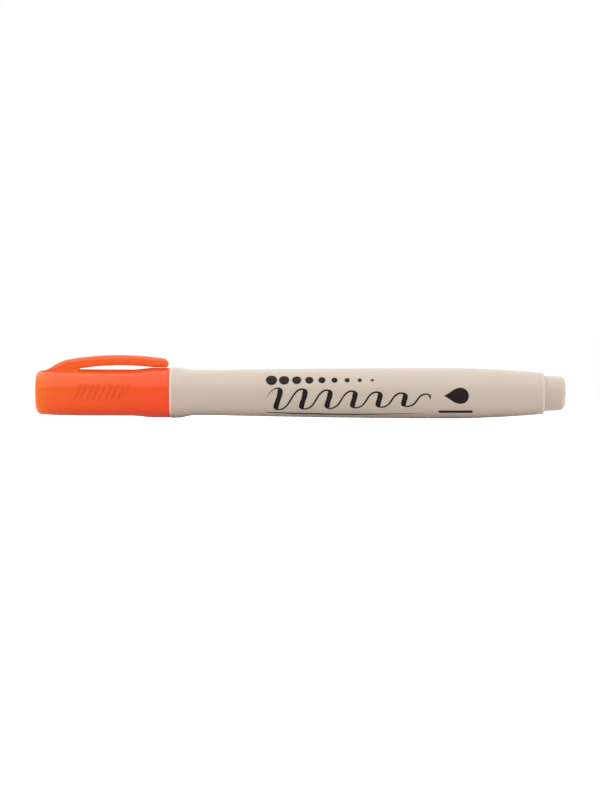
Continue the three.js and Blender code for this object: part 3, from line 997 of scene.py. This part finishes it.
clip_stations = [
    clip_start, *steps_between(clip_start, clip_heel, 40),
    clip_heel, *steps_between(clip_heel, free_start, 8),
    free_start, *steps_between(free_start, round_start, 44),
    *[round_start + tip_half_width * math.sin(i / 16 * math.pi / 2) for i in range(16)],
]
clip_shape = bmesh.new()
clip_rim = []
for station in clip_stations:
    half = clip_section(station)
    outline = [(station, y, z) for y, z in half] + [(station, -y, z) for y, z in reversed(half[1:-1])]
    if not clip_rim:
        ring = [clip_shape.verts.new(point) for point in outline]
        clip_rim = [clip_shape.edges.new(pair) for pair in zip(ring, ring[1:] + ring[:1])]
        bmesh.ops.contextual_create(clip_shape, geom=clip_rim)
        continue
    grown = bmesh.ops.extrude_edge_only(clip_shape, edges=clip_rim)["geom"]
    ring = [item for item in grown if isinstance(item, bmesh.types.BMVert)]
    edges = [item for item in grown if isinstance(item, bmesh.types.BMEdge)]
    clip_rim = [edge for edge in edges if set(edge.verts) <= set(ring)]
    for vertex, point in zip(ring, outline):
        vertex.co = point
bmesh.ops.contextual_create(clip_shape, geom=clip_rim)
bmesh.ops.recalc_face_normals(clip_shape, faces=clip_shape.faces)
# Painted light: a yellower orange than the cap's, for the light that comes through the thin clip.
clip_finish = moulded_plastic("orange clip", (0.87, 0.118, 0.012, 1), 0.2, 1.6, sheen=0.16)
clip = piece("clip_moulding", clip_shape, clip_finish)
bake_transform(clip)
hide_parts("pocket_clip")

# ---- Studio ----
# A white table in a white room, with a large softbox above the pen and a smaller one at each end, and a card
# overhead that only shows as a highlight. The camera looks at the pen square from the side. The table and the
# room look white to the camera and in reflections, and light the pen less.

scene = bpy.context.scene
scene.view_settings.view_transform = "Standard"


def seen(nodes):
    """1 for what the camera sees, straight or by a reflection or through something clear, and 0 for light."""
    straight, mirrored, through = [
        nodes.node("ShaderNodeLightPath", output=ray)
        for ray in ("Is Camera Ray", "Is Glossy Ray", "Is Transmission Ray")
    ]
    return straight.math("MAXIMUM", straight.math("MAXIMUM", straight, mirrored), through)


table_half = 3.0
table_shape = bmesh.new()
bmesh.ops.create_grid(table_shape, x_segments=1, y_segments=1, size=table_half)
bmesh.ops.translate(table_shape, verts=table_shape.verts, vec=(0, 0, axis_height - collar_radius * MM))
table_mesh = bpy.data.meshes.new("table")
table_shape.to_mesh(table_mesh)
table_shape.free()
table = bpy.data.objects.new("table", table_mesh)
scene.collection.objects.link(table)
table_top = Finish("white table", {"Base Color": (0.94, 0.945, 0.96, 1), "Roughness": 0.8})
from_pen = table_top.node("ShaderNodeVectorMath", {"operation": "LENGTH"}, {0: table_top.place}, output=1)
# Painted shade: the table's glow is dimmer near the pen, so that the pen's gloss shows less of it close by.
near_glow, far_glow = 0.45, 0.8
brightness = table_top.ramp(from_pen, 0.1, 1.2) * (far_glow - near_glow) + near_glow
glow = table_top.node("ShaderNodeEmission", {}, {"Strength": seen(table_top) * brightness})
lit = Socket(table_top, table_top.shader.outputs[0])
both = table_top.node("ShaderNodeAddShader", {}, {0: lit, 1: glow})
table_top.feed(table_top.tree.nodes["Material Output"], {"Surface": both})
table_mesh.materials.append(table_top.material)

room = bpy.data.worlds.new("room")
scene.world = room
air = Nodes(room)
ambient = 0.35
whiteness = ambient + seen(air) * (1 - ambient)
air.feed(air.tree.nodes["Background"], {"Color": (1, 1, 1, 1), "Strength": whiteness})


def softbox(name, azimuth, elevation, distance, width, height, radiance, diffuse=True, glossy=True):
    """A softbox that faces the pen; azimuth 0 is on the camera's side and 90 at the tail.

    It can be kept from lighting the pen (diffuse) or from showing in its gloss (glossy).
    """
    lamp = bpy.data.lights.new(name, "AREA")
    lamp.shape = "RECTANGLE"
    lamp.size, lamp.size_y = width, height
    lamp.energy = radiance * math.pi * width * height
    stand = bpy.data.objects.new(name, lamp)
    scene.collection.objects.link(stand)
    stand.visible_diffuse, stand.visible_glossy = diffuse, glossy
    around, up = math.radians(azimuth), math.radians(elevation)
    towards = Vector((math.sin(around) * math.cos(up), -math.cos(around) * math.cos(up), math.sin(up)))
    stand.location = Vector((0, 0, axis_height)) + towards * distance
    stand.rotation_euler = towards.to_track_quat("Z", "Y").to_euler()


overhead = {"distance": 0.9, "width": 1.8}
sideways = {"distance": 0.8, "width": 0.8, "height": 0.8}
softbox("overhead softbox", azimuth=0, elevation=70, height=1.7, radiance=0.75, **overhead)
softbox("highlight card", azimuth=0, elevation=87, height=3.0, radiance=1.3, diffuse=False, **overhead)
softbox("tail softbox", azimuth=84, elevation=10, radiance=2.45, glossy=False, **sideways)
softbox("cap softbox", azimuth=-84, elevation=10, radiance=3.0, glossy=False, **sideways)

camera_distance = 0.83
view_width = 0.1605
aim_left = 0.11 * MM
aim_below = 1.88 * MM
camera_roll = math.radians(-0.14)
long_over_short = 800 / 600
camera_data = bpy.data.cameras.new("camera")
camera_data.lens = camera_data.sensor_width * camera_distance / (view_width * long_over_short)
camera_data.clip_start = 0.01
camera = bpy.data.objects.new("camera", camera_data)
scene.collection.objects.link(camera)
pen_middle = (cad_low.x + cad_high.x) / 2
camera.location = (pen_middle - aim_left, -camera_distance, axis_height - aim_below)
camera.rotation_euler = (math.pi / 2, camera_roll, 0)
scene.camera = camera
